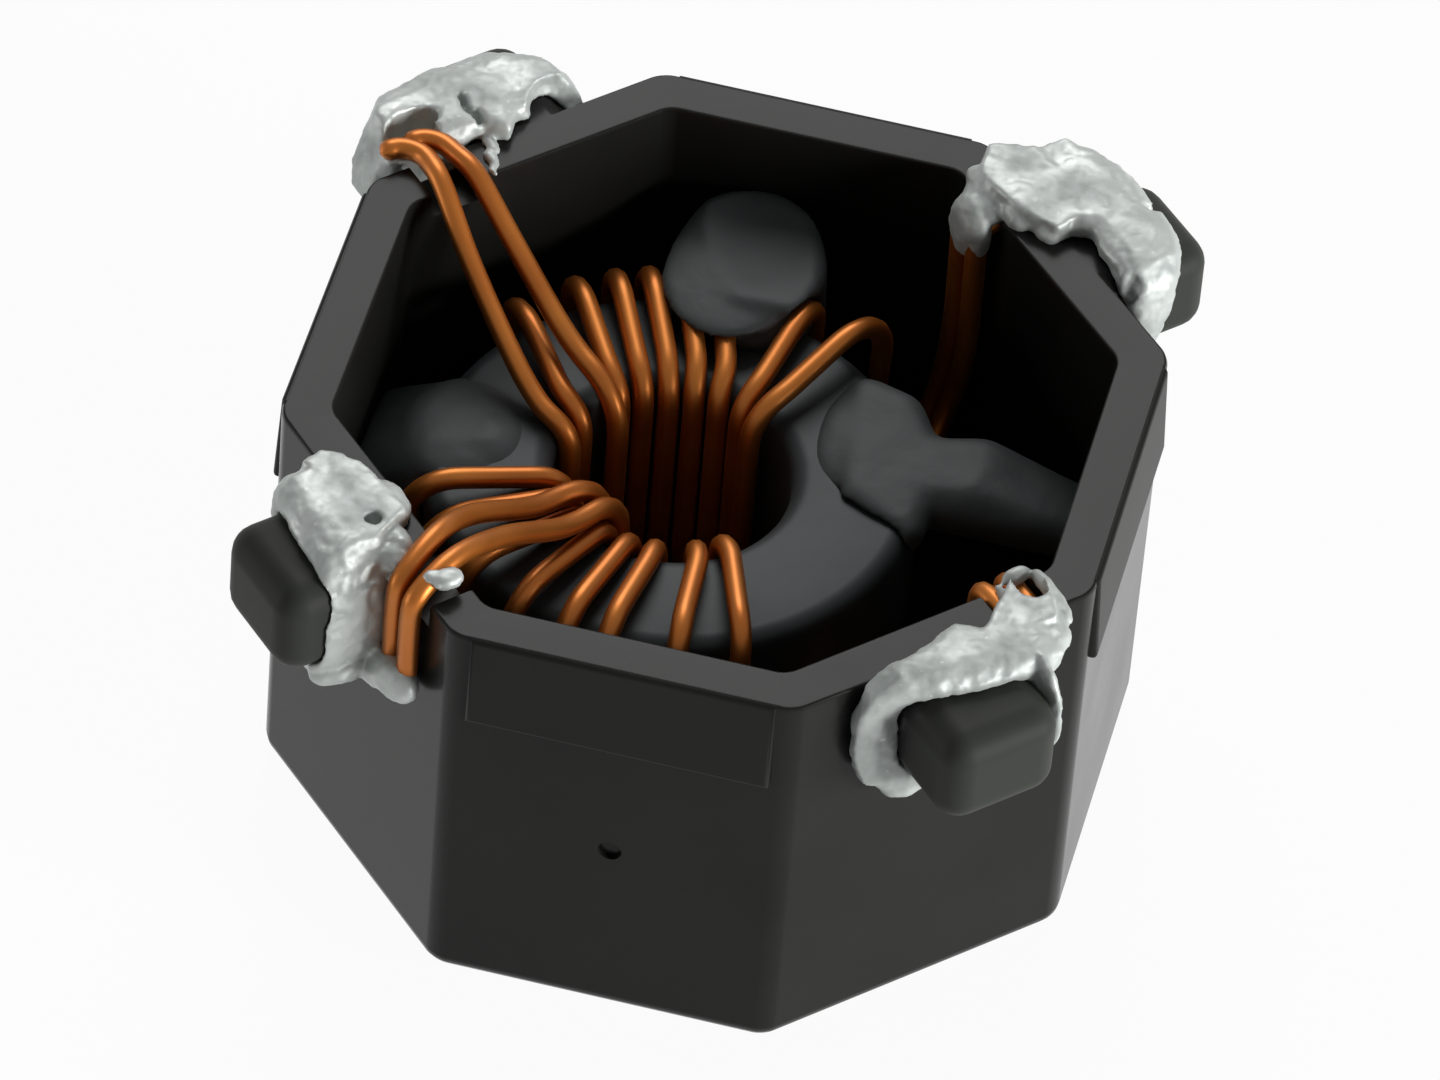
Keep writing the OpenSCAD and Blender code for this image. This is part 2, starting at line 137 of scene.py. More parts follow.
WHITE = linear("#ffffff")
PAPER = linear("#f4f4f4")
print("paper in linear light:", [round(x, 4) for x in PAPER[:3]])

# %% Steps of every finish
def new_finish(name):
    finish = bpy.data.materials.new(name)
    finish.use_nodes = True
    finish.node_tree.nodes.clear()
    return finish, finish.node_tree


def noise(tree, place, size, detail):
    settings = {"Scale": 1 / (size * MM), "Detail": detail}
    return add(tree, "TexNoise", settings, {"Vector": place.outputs["Object"]}).outputs[0]


def two_tone(tree, share, low, high):
    settings = {"data_type": "RGBA", 6: linear(low), 7: linear(high)}
    return add(tree, "Mix", settings, {0: share}).outputs[2]


def bumps(tree, height, strength, depth):
    settings = {"Strength": strength, "Distance": depth * MM}
    return add(tree, "Bump", settings, {"Height": height}).outputs[0]


def surface(tree, settings, links):
    shader = add(tree, "BsdfPrincipled", settings, links)
    add(tree, "OutputMaterial", {}, {"Surface": shader.outputs[0]})


# %% [markdown]
# ## Floor and light
# The part lies on a plain white sweep. To the camera, and mirrored in the part, the floor is nearly all
# glow, which keeps it as white as in the photograph. A twentieth of it stays lit paper, so the part still
# drops a faint shadow. The surroundings are white to the camera, half as bright to a mirrored ray and
# nearly dark to all others, which leaves the lighting to the lamps. Two large soft boxes low at the sides
# light the walls, and one high up behind lights the rim, the wires and the solder.

# %% Floor
FLOOR_SIZE = 1.2
FLOOR_DROP = 0.00001
GLOW_SHARE = 0.95


def ray_kinds(tree):
    ray = add(tree, "LightPath")
    mirrored = add(tree, "Math", {"operation": "MAXIMUM"},
                   {0: ray.outputs["Is Glossy Ray"], 1: ray.outputs["Is Transmission Ray"]})
    return ray.outputs["Is Camera Ray"], mirrored.outputs[0]


clear_selection()
bpy.ops.mesh.primitive_plane_add(size=FLOOR_SIZE, location=(0, 0, -FLOOR_DROP))
floor = bpy.context.object
floor.name = "floor"

floor_finish, tree = new_finish("white_sweep")
straight, mirrored = ray_kinds(tree)
seen = add(tree, "Math", {"operation": "MAXIMUM"}, {0: straight, 1: mirrored})
share = add(tree, "Math", {"operation": "MULTIPLY", 1: GLOW_SHARE}, {0: seen.outputs[0]})
matt = add(tree, "BsdfDiffuse", {"Color": PAPER})
glow = add(tree, "Emission", {"Color": WHITE, "Strength": 1.0})
both = add(tree, "MixShader", {}, {0: share.outputs[0], 1: matt.outputs[0], 2: glow.outputs[0]})
add(tree, "OutputMaterial", {}, {"Surface": both.outputs[0]})
floor.data.materials.append(floor_finish)
print("floor is", FLOOR_SIZE, "m wide")

# %% Surroundings
SKY_STRENGTH = 0.05
MIRRORED_SHARE = 0.5

sky = bpy.data.worlds.new("studio")
bpy.context.scene.world = sky
sky.use_nodes = True
tree = sky.node_tree
tree.nodes.clear()
straight, mirrored = ray_kinds(tree)
half = add(tree, "Math", {"operation": "MULTIPLY", 1: MIRRORED_SHARE}, {0: mirrored})
seen = add(tree, "Math", {"operation": "MAXIMUM"}, {0: straight, 1: half.outputs[0]})
dim = add(tree, "Background", {"Color": WHITE, "Strength": SKY_STRENGTH})
white = add(tree, "Background", {"Color": WHITE, "Strength": 1.0})
both = add(tree, "MixShader", {}, {0: seen.outputs[0], 1: dim.outputs[0], 2: white.outputs[0]})
add(tree, "OutputWorld", {}, {"Surface": both.outputs[0]})
print("surroundings light the part with strength", SKY_STRENGTH)

# %% Lamps
LAMPS_AIM = Vector((0, 0, 2))


def soft_box(name, place, size, watts):
    clear_selection()
    bpy.ops.object.light_add(type="AREA", location=[x * MM for x in place])
    lamp = bpy.context.object
    lamp.name = name
    lamp.data.shape = "DISK"
    lamp.data.size = size * MM
    lamp.data.energy = watts
    lamp.rotation_euler = (LAMPS_AIM - Vector(place)).to_track_quat("-Z", "Y").to_euler()
    print(name, watts, "W at", place, "mm")


soft_box("box_behind", (-40, 170, 170), 150, 0.28)
soft_box("box_left", (-225, -60, 14), 130, 0.15)
soft_box("box_right", (235, -60, 25), 130, 0.9)

# %% [markdown]
# ## Finishes
# The cup is a black moulded thermoset. Its mould was spark-eroded, so the surface is finely matt, and the
# colour is even, with faint clouds from the flow of the filler. Seen along a wall it still mirrors the
# white floor, which makes the right wall so light. The pegs were dipped in flux, which left a dull grey
# film. Only they reach so far from the cup's axis, and the film is put there.

# %% Moulded black plastic
FILM_FROM = 4.9
FILM_FULL = 5.2

plastic, tree = new_finish("moulded_black_plastic")
place = add(tree, "TexCoord")
clouds = noise(tree, place, 1.8, 3)
grit = noise(tree, place, 0.07, 2)
flat = add(tree, "VectorMath", {"operation": "MULTIPLY", 1: (1, 1, 0)}, {0: place.outputs["Object"]})
reach = add(tree, "VectorMath", {"operation": "LENGTH"}, {0: flat.outputs["Vector"]})
film = add(tree, "MapRange", {"From Min": FILM_FROM * MM, "From Max": FILM_FULL * MM},
           {"Value": reach.outputs["Value"]})
black = two_tone(tree, clouds, "#191918", "#252523")
colour = add(tree, "Mix", {"data_type": "RGBA", 7: linear("#383a36")}, {0: film.outputs[0], 6: black})

# %% [markdown]
# The low bands under the rim look duller than the walls, as if the mould was rougher there, and so they
# show as a darker strip on the right wall. They stand out further to the front, back or side than the
# walls do, which is how they are told apart.

# %% Gloss of the plastic
FILM_ROUGHNESS = 0.55
BAND_DULLNESS = 0.6
BAND_FROM = FACE_R + 0.01
BAND_FULL = FACE_R + 0.02

sides = add(tree, "VectorMath", {"operation": "ABSOLUTE"}, {0: place.outputs["Object"]})
across = add(tree, "SeparateXYZ", {}, {0: sides.outputs["Vector"]})
proud = add(tree, "Math", {"operation": "MAXIMUM"}, {0: across.outputs["X"], 1: across.outputs["Y"]})
rough = add(tree, "MapRange",
            {"From Min": BAND_FROM * MM, "From Max": BAND_FULL * MM, "To Max": BAND_DULLNESS},
            {"Value": proud.outputs[0]})
dull = add(tree, "Math", {"operation": "MAXIMUM"}, {0: film.outputs[0], 1: rough.outputs[0]})
sheen = add(tree, "MapRange", {"To Min": 0.18, "To Max": 0.28}, {"Value": clouds})
gloss = add(tree, "Mix", {3: FILM_ROUGHNESS}, {0: dull.outputs[0], 2: sheen.outputs[0]})
surface(tree, {"IOR": 1.5, "Specular IOR Level": 0.12},
        {"Base Color": colour.outputs[2], "Roughness": gloss.outputs[0],
         "Normal": bumps(tree, grit, 0.25, 0.003)})

# %% [markdown]
# The ring is pressed ferrite with a tumbled epoxy coat, so it is dark grey, a little glossy and softly
# dimpled.

# %% Coated ferrite
coating, tree = new_finish("coated_ferrite")
place = add(tree, "TexCoord")
clouds = noise(tree, place, 1.1, 4)
dimples = noise(tree, place, 0.3, 2)
surface(tree, {"Roughness": 0.48, "IOR": 1.5, "Specular IOR Level": 0.25},
        {"Base Color": two_tone(tree, clouds, "#262a2c", "#474d4f"),
         "Normal": bumps(tree, dimples, 0.4, 0.012)})

# %% [markdown]
# Magnet wire is bare copper under a clear amber enamel. The metal gives the warm colour and the long
# highlights, and the enamel a second gloss on top.

# %% Enamelled copper
copper, tree = new_finish("enamelled_copper")
place = add(tree, "TexCoord")
clouds = noise(tree, place, 0.9, 3)
gloss = add(tree, "MapRange", {"To Min": 0.34, "To Max": 0.5}, {"Value": clouds})
surface(tree, {"Metallic": 0.75, "Coat Weight": 0.15, "Coat Roughness": 0.3},
        {"Base Color": two_tone(tree, clouds, "#a8581a", "#c87c32"), "Roughness": gloss.outputs[0]})

# %% [markdown]
# The terminals were dipped in molten solder, which froze dull and grainy: a tin alloy with a frosted
# skin. It is brighter where the surface stayed smooth, and painted glints, white flecks put into its colour
# where the fine grain peaks, stand in for the small highlights of its grains.

# %% Dull solder
solder, tree = new_finish("dull_solder")
place = add(tree, "TexCoord")
clouds = noise(tree, place, 0.5, 5)
grain = noise(tree, place, 0.09, 3)
frost = add(tree, "MapRange", {"From Min": 0.3, "From Max": 0.7}, {"Value": clouds})
# Painted glints: where the fine grain noise peaks, the colour turns near white, in place of small
# highlights
painted_glints = add(tree, "MapRange", {"From Min": 0.66, "From Max": 0.86}, {"Value": grain})
skin = two_tone(tree, frost.outputs[0], "#b0b6b3", "#d0d5d2")
colour = add(tree, "Mix", {"data_type": "RGBA", 7: linear("#f0f3f2")}, {0: painted_glints.outputs[0], 6: skin})
gloss = add(tree, "MapRange", {"To Min": 0.64, "To Max": 0.38}, {"Value": frost.outputs[0]})
surface(tree, {"Metallic": 0.3},
        {"Base Color": colour.outputs[2], "Roughness": gloss.outputs[0],
         "Normal": bumps(tree, grain, 0.3, 0.012)})

# %% [markdown]
# The adhesive is a grey epoxy that was dabbed on and cured. It is smooth but not even, with a satin skin.

# %% Cured adhesive
adhesive, tree = new_finish("cured_adhesive")
place = add(tree, "TexCoord")
clouds = noise(tree, place, 0.8, 4)
dimples = noise(tree, place, 0.22, 3)
surface(tree, {"Roughness": 0.55, "IOR": 1.5, "Specular IOR Level": 0.3},
        {"Base Color": two_tone(tree, clouds, "#373a3b", "#4b4f50"),
         "Normal": bumps(tree, dimples, 0.4, 0.02)})
print("finishes:", ", ".join(finish.name for finish in (plastic, coating, copper, solder, adhesive)))

# %% [markdown]
# ## Common steps
# Every piece ends the same way: it is shrunk to metres with its place in its mesh, gets its name and
# finish, rides on the part's only body and stands for its solid.

# %% Finishing a piece
def make_active(piece):
    clear_selection()
    piece.select_set(True)
    bpy.context.view_layer.objects.active = piece


def hand_over(piece, name, finish, slot, *nodes):
    make_active(piece)
    piece.scale = (MM, MM, MM)
    bpy.ops.object.transform_apply(location=True, rotation=True, scale=True)
    piece.name = piece.data.name = name
    piece.data.materials.clear()
    piece.data.materials.append(finish)
    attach(piece, "root")
    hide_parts(*nodes)
    print(name, "has", len(piece.data.polygons), "faces")


def apply_modifier(piece, kind, **settings):
    make_active(piece)
    modifier = piece.modifiers.new(kind.lower(), kind)
    for key, value in settings.items():
        setattr(modifier, key, value)
    bpy.ops.object.modifier_apply(modifier=modifier.name)


# %% [markdown]
# ## Cup
# The cup is moulded in one shot. Both its outside and its cavity are eight-sided blocks with round
# upright corners, so one function makes either: a cylinder with eight sides, turned so that a wall faces
# the front, with its uprights bevelled. The cavity is cut out of the block, and the foot and the rim are
# rounded, since a mould has no sharp corners. The small pieces further on are cubes that are copied round
# the cup, joined on or cut out.

# %% Picking edges by place
def pick_edges(piece, test):
    make_active(piece)
    bpy.ops.object.mode_set(mode="EDIT")
    bpy.ops.mesh.select_mode(type="EDGE")
    bpy.ops.mesh.select_all(action="DESELECT")
    bpy.ops.object.mode_set(mode="OBJECT")
    points = piece.data.vertices
    for edge in piece.data.edges:
        edge.select = test(*[points[i].co for i in edge.vertices])
    bpy.ops.object.mode_set(mode="EDIT")


def round_edges(piece, test, offset, segments):
    pick_edges(piece, test)
    bpy.ops.mesh.bevel(offset=offset, segments=segments, affect="EDGES")
    bpy.ops.object.mode_set(mode="OBJECT")


# %% Copying, joining and cutting
def round_the_cup(piece, angles):
    copies = []
    for angle in angles:
        make_active(piece)
        bpy.ops.object.duplicate(linked=False)
        bpy.context.object.rotation_euler.z = math.radians(angle)
        bpy.ops.object.transform_apply(location=True, rotation=True, scale=True)
        copies.append(bpy.context.object)
    bpy.data.objects.remove(piece)
    return copies


def combine(piece, tools, operation):
    for tool in tools:
        apply_modifier(piece, "BOOLEAN", object=tool, operation=operation, solver="EXACT")
        bpy.data.objects.remove(tool)


def block(low, high):
    clear_selection()
    bpy.ops.mesh.primitive_cube_add(size=1)
    piece = bpy.context.object
    piece.scale = Vector(high) - Vector(low)
    piece.location = (Vector(low) + Vector(high)) / 2
    bpy.ops.object.transform_apply(location=True, rotation=True, scale=True)
    return piece


# %% Hollow block with round edges
HALF_CORNER = math.pi / 8
CORNER_R = 0.35
INNER_CORNER_R = 0.25
FOOT_R = 0.22
RIM_R = 0.05
CAVITY_TOP = BODY_H + 1
NEAR = 0.001
# Corners of the cup's outside lie further from its axis than this, corners of the cavity nearer
SPLIT_R = 4.45


def prism(across_r, corner_r, low, high):
    clear_selection()
    bpy.ops.mesh.primitive_cylinder_add(vertices=8, radius=across_r / math.cos(HALF_CORNER),
                                        depth=high - low, location=(0, 0, (low + high) / 2),
                                        rotation=(0, 0, HALF_CORNER))
    piece = bpy.context.object
    bpy.ops.object.transform_apply(location=True, rotation=True, scale=True)
    round_edges(piece, lambda a, b: abs(a.z - b.z) > NEAR, corner_r * math.tan(HALF_CORNER), segments=5)
    return piece


def on_rim(a, b):
    same_ring = (a.xy.length > SPLIT_R) == (b.xy.length > SPLIT_R)
    return min(a.z, b.z) > BODY_H - NEAR and same_ring


cup = prism(FACE_R, CORNER_R, 0, BODY_H)
round_edges(cup, lambda a, b: max(a.z, b.z) < NEAR, FOOT_R, segments=4)
combine(cup, [prism(INNER_R, INNER_CORNER_R, FLOOR_T, CAVITY_TOP)], "DIFFERENCE")
round_edges(cup, on_rim, RIM_R, segments=2)
print("block has", len(cup.data.polygons), "faces")

# %% [markdown]
# The pegs carry the solder. Each is a cube with round edges, made once and copied. Its top lies a hair
# below the rim, so that no two faces share a plane when it is joined on.

# %% Pegs
PEG_W = 1.42
PEG_H = 1.2
PEG_L = 1.34
PEG_ROUND = 0.32
HAIR = 0.006

tip = FACE_R + PEG_L
peg = block((FACE_R - WALL / 2, -PEG_W / 2, BODY_H - PEG_H), (tip, PEG_W / 2, BODY_H - HAIR))
round_edges(peg, lambda a, b: abs(a.x - b.x) > NEAR or min(a.x, b.x) > tip - NEAR, PEG_ROUND, segments=6)
combine(cup, round_the_cup(peg, LUG_ANGLES), "UNION")
print("with pegs it has", len(cup.data.polygons), "faces")

# %% [markdown]
# A low band under the rim stiffens each main wall. It stops a little short of the round corners, and it
# leans in towards the rim, so that it slides out of the mould. Its top front edge is moved in before the
# rounding.

# %% Bands
BAND_H = 1.18
BAND_PROUD = 0.06
BAND_LEAN = 0.06
BAND_ROUND = 0.05
MAIN_WALLS = (0, 90, 180, 270)

band_end = (FACE_R - CORNER_R) * math.tan(HALF_CORNER) - BAND_ROUND
band_mid = BODY_H - BAND_H / 2
brow = FACE_R + BAND_PROUD + BAND_LEAN / 2
band = block((FACE_R - WALL / 2, -band_end, BODY_H - BAND_H), (brow, band_end, BODY_H - HAIR))
pick_edges(band, lambda a, b: min(a.x, b.x) > FACE_R and min(a.z, b.z) > band_mid)
bpy.ops.transform.translate(value=(-BAND_LEAN, 0, 0))
bpy.ops.object.mode_set(mode="OBJECT")
round_edges(band, lambda a, b: min(a.x, b.x) > FACE_R, BAND_ROUND, segments=3)
combine(cup, round_the_cup(band, MAIN_WALLS), "UNION")
print("with bands it has", len(cup.data.polygons), "faces")

# %% [markdown]
# Each pair of leads passes through a notch beside its peg, and the gate, where the plastic came in, left
# a small round mark on the front wall. Both are cut out. The cup is then shaded smooth, except over sharp
# edges.

# %% Notches and the gate's mark
LEAD_PITCH = 1.25 * WIRE_D
NOTCH_W = LEAD_PITCH + WIRE_D + 4 * WIRE_GAP
NOTCH_OFFSET = 1.06
NOTCH_DEPTH = 0.32
CUT_PAST = 0.1
GATE_D = 0.26
GATE_DEPTH = 0.06
GATE_Z = 2.46
SHARP_ANGLE = math.radians(32)

notch = block((INNER_R - CUT_PAST, NOTCH_OFFSET - NOTCH_W / 2, BODY_H - NOTCH_DEPTH),
              (FACE_R + CUT_PAST, NOTCH_OFFSET + NOTCH_W / 2, BODY_H + CUT_PAST))
combine(cup, round_the_cup(notch, LUG_ANGLES), "DIFFERENCE")

clear_selection()
bpy.ops.mesh.primitive_cylinder_add(vertices=32, radius=GATE_D / 2, depth=2 * GATE_DEPTH,
                                    location=(0, -FACE_R, GATE_Z), rotation=(math.pi / 2, 0, 0))
combine(cup, [bpy.context.object], "DIFFERENCE")

make_active(cup)
bpy.ops.object.shade_smooth_by_angle(angle=SHARP_ANGLE)
apply_modifier(cup, "WEIGHTED_NORMAL", keep_sharp=True)
hand_over(cup, "cup", plastic, "housing_plastic", "housing")

# %% [markdown]
# ## Ring
# A ring with round edges is a rectangle with its corners bevelled, spun once round the ring's axis. The
# face inside the outline is deleted first, so that the spin leaves no wall inside the ring. Two layers of
# wire fit between the ring and the cup's floor.

# %% Ring
CORE_OD = 5.36
CORE_ID = 2.6
CORE_H = 2.72
CORE_EDGE_R = 0.22
CORE_SHIFT = -0.52
LAYER_T = WIRE_D + WIRE_GAP
CORE_R = CORE_OD / 2
HOLE_R = CORE_ID / 2
CORE_Z = FLOOR_T + 2 * LAYER_T + WIRE_GAP
CORE_TOP = CORE_Z + CORE_H
WELD = 0.0005

clear_selection()
bpy.ops.mesh.primitive_plane_add(size=1, rotation=(math.pi / 2, 0, 0))
ring = bpy.context.object
ring.scale = (CORE_R - HOLE_R, CORE_H, 1)
ring.location = (CORE_SHIFT + (CORE_R + HOLE_R) / 2, 0, (CORE_Z + CORE_TOP) / 2)
bpy.ops.object.transform_apply(location=True, rotation=True, scale=True)
bpy.ops.object.mode_set(mode="EDIT")
bpy.ops.mesh.select_all(action="SELECT")
bpy.ops.mesh.bevel(offset=CORE_EDGE_R, segments=6, affect="VERTICES")
bpy.ops.mesh.delete(type="ONLY_FACE")
bpy.ops.mesh.select_all(action="SELECT")
bpy.ops.mesh.spin(steps=120, angle=2 * math.pi, center=(CORE_SHIFT, 0, 0), axis=(0, 0, 1))
bpy.ops.mesh.select_all(action="SELECT")
bpy.ops.mesh.remove_doubles(threshold=WELD)
bpy.ops.mesh.normals_make_consistent(inside=False)
bpy.ops.object.mode_set(mode="OBJECT")
bpy.ops.object.shade_smooth()
hand_over(ring, "ring", coating, "core_coating", "core")

# %% [markdown]
# ## Windings
# Each winding is laid with two strands side by side. A strand comes in through a notch in the rim, drops
# over the ring, goes round it five times and leaves from below through the next notch. The route is
# worked out turn by turn, by the same rule as in the solids: round each edge of the ring on a small arc,
# straight between the edges, and on a smooth curve through the few points of a lead.

# %% Way of a wire round the ring
BEND_STEPS = 6
BEND_SHARE = 0.2
SLACK = 0.5
EDGE_OUT = CORE_R - CORE_EDGE_R
EDGE_IN = HOLE_R + CORE_EDGE_R
EDGE_LOW = CORE_Z + CORE_EDGE_R
EDGE_HIGH = CORE_TOP - CORE_EDGE_R

# Angles of a turn outside the ring and in its hole; its layers outside, on top and in the hole, and below
Turn = namedtuple("Turn", "outer inner side top below")


def mix(a, b, u):
    return a + (b - a) * u


def wire_layer(n):
    return WIRE_D / 2 + WIRE_GAP + n * LAYER_T


def on_core(r, angle, z):
    a = math.radians(angle)
    return np.array((CORE_SHIFT + r * math.cos(a), r * math.sin(a), z))


def edge_bend(r, z, swing, layers, angles):
    points = []
    for u in np.linspace(0, 1, BEND_STEPS + 1):
        s = math.radians(mix(*swing, u))
        d = CORE_EDGE_R + wire_layer(mix(*layers, u))
        points.append(on_core(r + d * math.cos(s), mix(*angles, u), z + d * math.sin(s)))
    return points


# %% The four bends of a turn
def down_the_hole(turn):
    angles = (mix(turn.inner, turn.outer, BEND_SHARE), turn.inner)
    return edge_bend(EDGE_IN, EDGE_HIGH, (90, 180), (turn.top, turn.top), angles)


def under_the_core(turn, after):
    angles_in = (turn.inner, mix(turn.inner, after.outer, BEND_SHARE))
    angles_out = (mix(after.outer, turn.inner, BEND_SHARE), after.outer)
    inside = edge_bend(EDGE_IN, EDGE_LOW, (180, 270), (turn.top, turn.below), angles_in)
    outside = edge_bend(EDGE_OUT, EDGE_LOW, (-90, 0), (turn.below, after.side), angles_out)
    return inside + outside


def up_and_over(turn):
    layers = (turn.side + SLACK, turn.top + SLACK)
    angles = (turn.outer, mix(turn.outer, turn.inner, BEND_SHARE))
    return edge_bend(EDGE_OUT, EDGE_HIGH, (0, 90), layers, angles)


print("a turn has", 4 * len(up_and_over(Turn(90, 90, 0, 0, 0))), "points")

# %% [markdown]
# A lead lies in its notch at a height of its own, because the solder holds it there. Those of the fourth
# terminal go over the rim and down the outside of the wall. The solids' leads stop at the solder, and
# here the others run on into it.

# %% Leads in the notches
LEAD_STEPS = 8
LEAD_LIFT = (0.32, 0.02, 0.06, 0.32)
LEAD_DROP = (0, 0, 0, 1.3)
# How far a lead runs on into the solder, outward and along the wall
LEAD_RUN_ON = (((0.17, 0.4), (0.2, 0.2)), ((0.12, 0),), ((0.12, 0),), ())
# The bend over the rim of a lead that drops outside: two depths and how far it is drawn in, in wire widths
RIM_BEND_LOW = 1.6
RIM_BEND_HIGH = 0.35
RIM_BEND_IN = 0.3
# Share of the wall's thickness at which a lead lies level in its notch
NOTCH_SHARE = 0.7


def lug_point(k, n, t, z):
    a = math.radians(LUG_ANGLES[k])
    return np.array((n * math.cos(a) - t * math.sin(a), n * math.sin(a) + t * math.cos(a), BODY_H + z))


def spline(p):
    curve = []
    for i in range(len(p) - 1):
        a, b, c, d = p[max(i - 1, 0)], p[i], p[i + 1], p[min(i + 2, len(p) - 1)]
        for u in np.arange(LEAD_STEPS) / LEAD_STEPS:
            curve.append(0.5 * (2 * b + (c - a) * u + (2 * a - 5 * b + 4 * c - d) * u ** 2
                                + (3 * b - a - 3 * c + d) * u ** 3))
    return curve


def lead_z(k):
    return -NOTCH_DEPTH + wire_layer(0) + LEAD_LIFT[k]


def from_the_solder(k, t):
    z = lead_z(k)
    outer = FACE_R + wire_layer(0)
    if LEAD_DROP[k] > 0:
        return [lug_point(k, outer, t, z - LEAD_DROP[k]), lug_point(k, outer, t, z - RIM_BEND_LOW * WIRE_D),
                lug_point(k, outer - RIM_BEND_IN * WIRE_D, t, z - RIM_BEND_HIGH * WIRE_D)]
    run_on = [lug_point(k, FACE_R + out, t + along, z) for out, along in LEAD_RUN_ON[k]]
    in_notch = mix(INNER_R, FACE_R, NOTCH_SHARE)
    return run_on + [lug_point(k, FACE_R - WIRE_GAP, t, z), lug_point(k, in_notch, t, z)]


# %% [markdown]
# The lead that comes in runs from the rim down to the ring's top in one sweep. The one that goes out
# climbs along the wall from below the ring and bends over the notch on a small arc.

# %% Leads to and from the ring
# Shares of the sweep: how far down at the ring's edge and half way to the hole, and how far round there
SWEEP_EDGE = 0.35
SWEEP_MIDDLE = 0.85
SWEEP_TURN = 0.4
# Shares of the ring's height at which a climbing lead nears the wall and runs straight up, and how far
# each lead of a pair is shifted at the lower one, in wire widths
CLIMB_LOW = 0.35
CLIMB_HIGH = 0.75
CLIMB_STAGGER = 0.5
ARC_MIDDLE = math.radians(135)


def lead_in(k, side, first):
    t = NOTCH_OFFSET + side * LEAD_PITCH / 2
    rim_z = BODY_H + lead_z(k)
    over = CORE_TOP + wire_layer(first.top)
    landing = on_core(CORE_R + WIRE_D, first.outer, mix(rim_z, over, SWEEP_EDGE))
    a = math.radians(LUG_ANGLES[k])
    landing_n = landing[0] * math.cos(a) + landing[1] * math.sin(a)
    heading = np.array((landing[0], landing[1], rim_z))
    middle_angle = mix(first.outer, first.inner, SWEEP_TURN)
    return spline(from_the_solder(k, t) + [
        mix(lug_point(k, FACE_R, t, lead_z(k)), heading, WALL / (FACE_R - landing_n)), landing,
        on_core(mix(HOLE_R, CORE_R, 0.5), middle_angle, mix(rim_z, over, SWEEP_MIDDLE)),
        down_the_hole(first)[0]])


def lead_out(k, side, angle):
    t = NOTCH_OFFSET + side * LEAD_PITCH / 2
    way_out = from_the_solder(k, t)
    bend_r = wire_layer(0) + LEAD_LIFT[k] + WIRE_GAP
    along = INNER_R - bend_r
    bend_z = lead_z(k) - bend_r
    stagger = side * CLIMB_STAGGER * WIRE_D
    return spline([
        on_core(CORE_R + wire_layer(0), angle, EDGE_LOW),
        lug_point(k, along - WIRE_D, t, mix(CORE_Z, CORE_TOP, CLIMB_LOW) - BODY_H - stagger),
        lug_point(k, along, t, mix(CORE_Z, CORE_TOP, CLIMB_HIGH) - BODY_H),
        lug_point(k, along, t, bend_z),
        lug_point(k, INNER_R + bend_r * math.cos(ARC_MIDDLE), t, bend_z + bend_r * math.sin(ARC_MIDDLE)),
        lug_point(k, INNER_R, t, lead_z(k))] + way_out[::-1]) + [way_out[0]]


def wire_path(rows, lug_in, side_in, lug_out, side_out, angle_out):
    turns = [Turn(*row) for row in rows]
    way_out = Turn(angle_out, 0, 0, 0, 0)
    path = lead_in(lug_in, side_in, turns[0])
    for turn, after in zip(turns, turns[1:] + [way_out]):
        if turn is not turns[0]:
            path += up_and_over(turn)
        path += down_the_hole(turn) + under_the_core(turn, after)
    return np.array(path + lead_out(lug_out, side_out, angle_out))


# %% [markdown]
# A wire bends a little more gently than arcs and straights joined end to end. So the route is cut into
# short equal steps and each point is averaged with its neighbours, except at the two ends.

# %% Smooth a wire's route
SAME_PLACE = 1e-6


def eased(path, step=0.05, reach=2.0):
    legs = np.linalg.norm(np.diff(path, axis=0), axis=1)
    path = path[np.r_[True, legs > SAME_PLACE]]
    along = np.r_[0, np.cumsum(np.linalg.norm(np.diff(path, axis=0), axis=1))]
    stops = np.linspace(0, along[-1], int(along[-1] / step))
    even = np.column_stack([np.interp(stops, along, path[:, i]) for i in range(3)])
    span = int(3 * reach)
    weights = np.exp(-0.5 * (np.arange(-span, span + 1) / reach) ** 2)
    padded = np.vstack([2 * even[0] - even[span:0:-1], even, 2 * even[-1] - even[-2:-span - 2:-1]])
    return np.column_stack([np.convolve(padded[:, i], weights / weights.sum(), "valid") for i in range(3)])


# %% Turns of the four strands
HOLE_SPREAD = 1.06
MIDDLE_A = 112.5
MIDDLE_B = -97

hole_pitch = HOLE_SPREAD * 2 * math.degrees(math.asin(LAYER_T / (2 * (HOLE_R - wire_layer(0)))))
print("wires in the hole are", round(hole_pitch, 1), "degrees apart")


def hole_a(i):
    return MIDDLE_A + (4.5 - i) * hole_pitch


def hole_b(i):
    return MIDDLE_B + (i - 3.5) * hole_pitch


